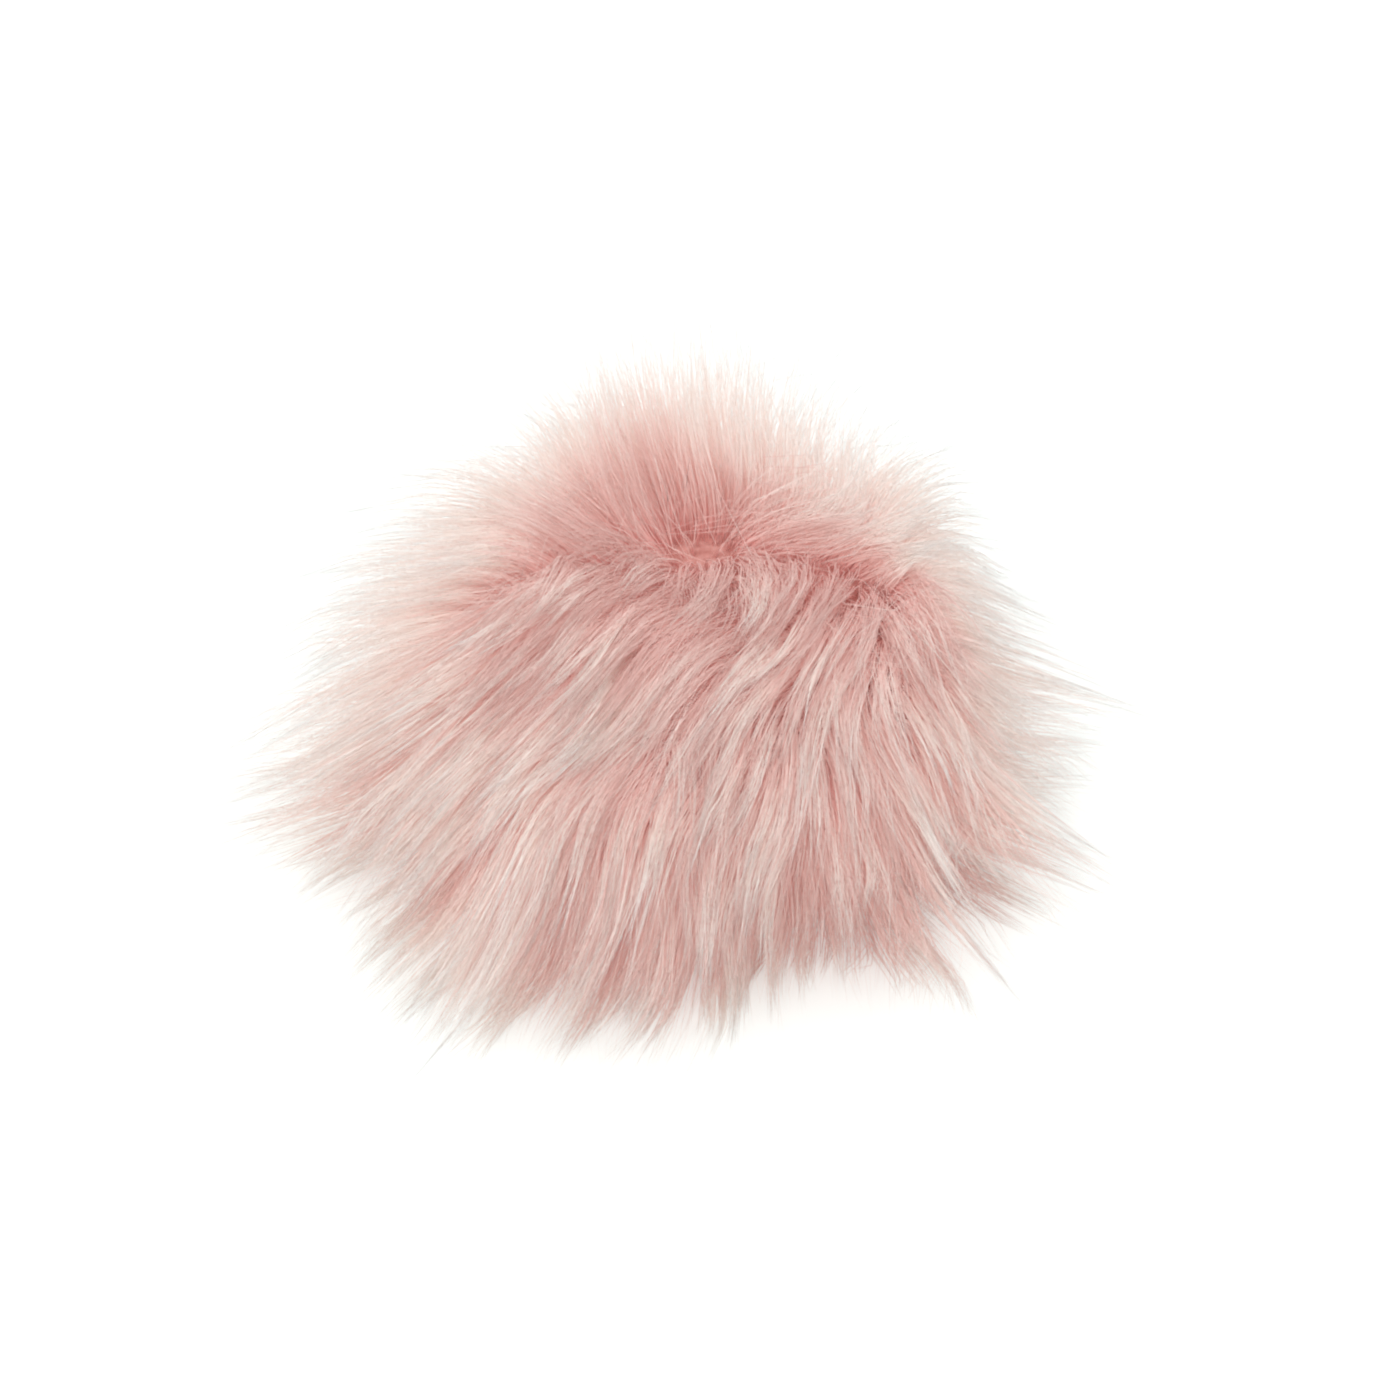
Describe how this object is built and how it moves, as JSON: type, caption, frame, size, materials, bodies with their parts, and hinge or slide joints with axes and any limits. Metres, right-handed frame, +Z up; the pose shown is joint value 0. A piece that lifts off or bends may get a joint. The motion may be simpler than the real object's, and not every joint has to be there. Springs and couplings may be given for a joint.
{
  "type": "faux fur pompom",
  "caption": "Soft round trimming of long plush pile that falls open from a parting on top and lies over the surface it rests on, for a hat, bag or key ring.",
  "frame": {"origin": "middle of the flat spot on the underside that the ball rests on", "axes": "+Z up, the parting runs along X, the long front fur lies towards -Y"},
  "size_m": [0.1419, 0.1268, 0.0672],
  "materials": {
    "pink_fur": "long soft plush pile, rose at the roots and cream at the tips, matte with a faint sheen"
  },
  "bodies": {
    "root": {"fur_ball": "pink_fur"}
  },
  "joints": []
}
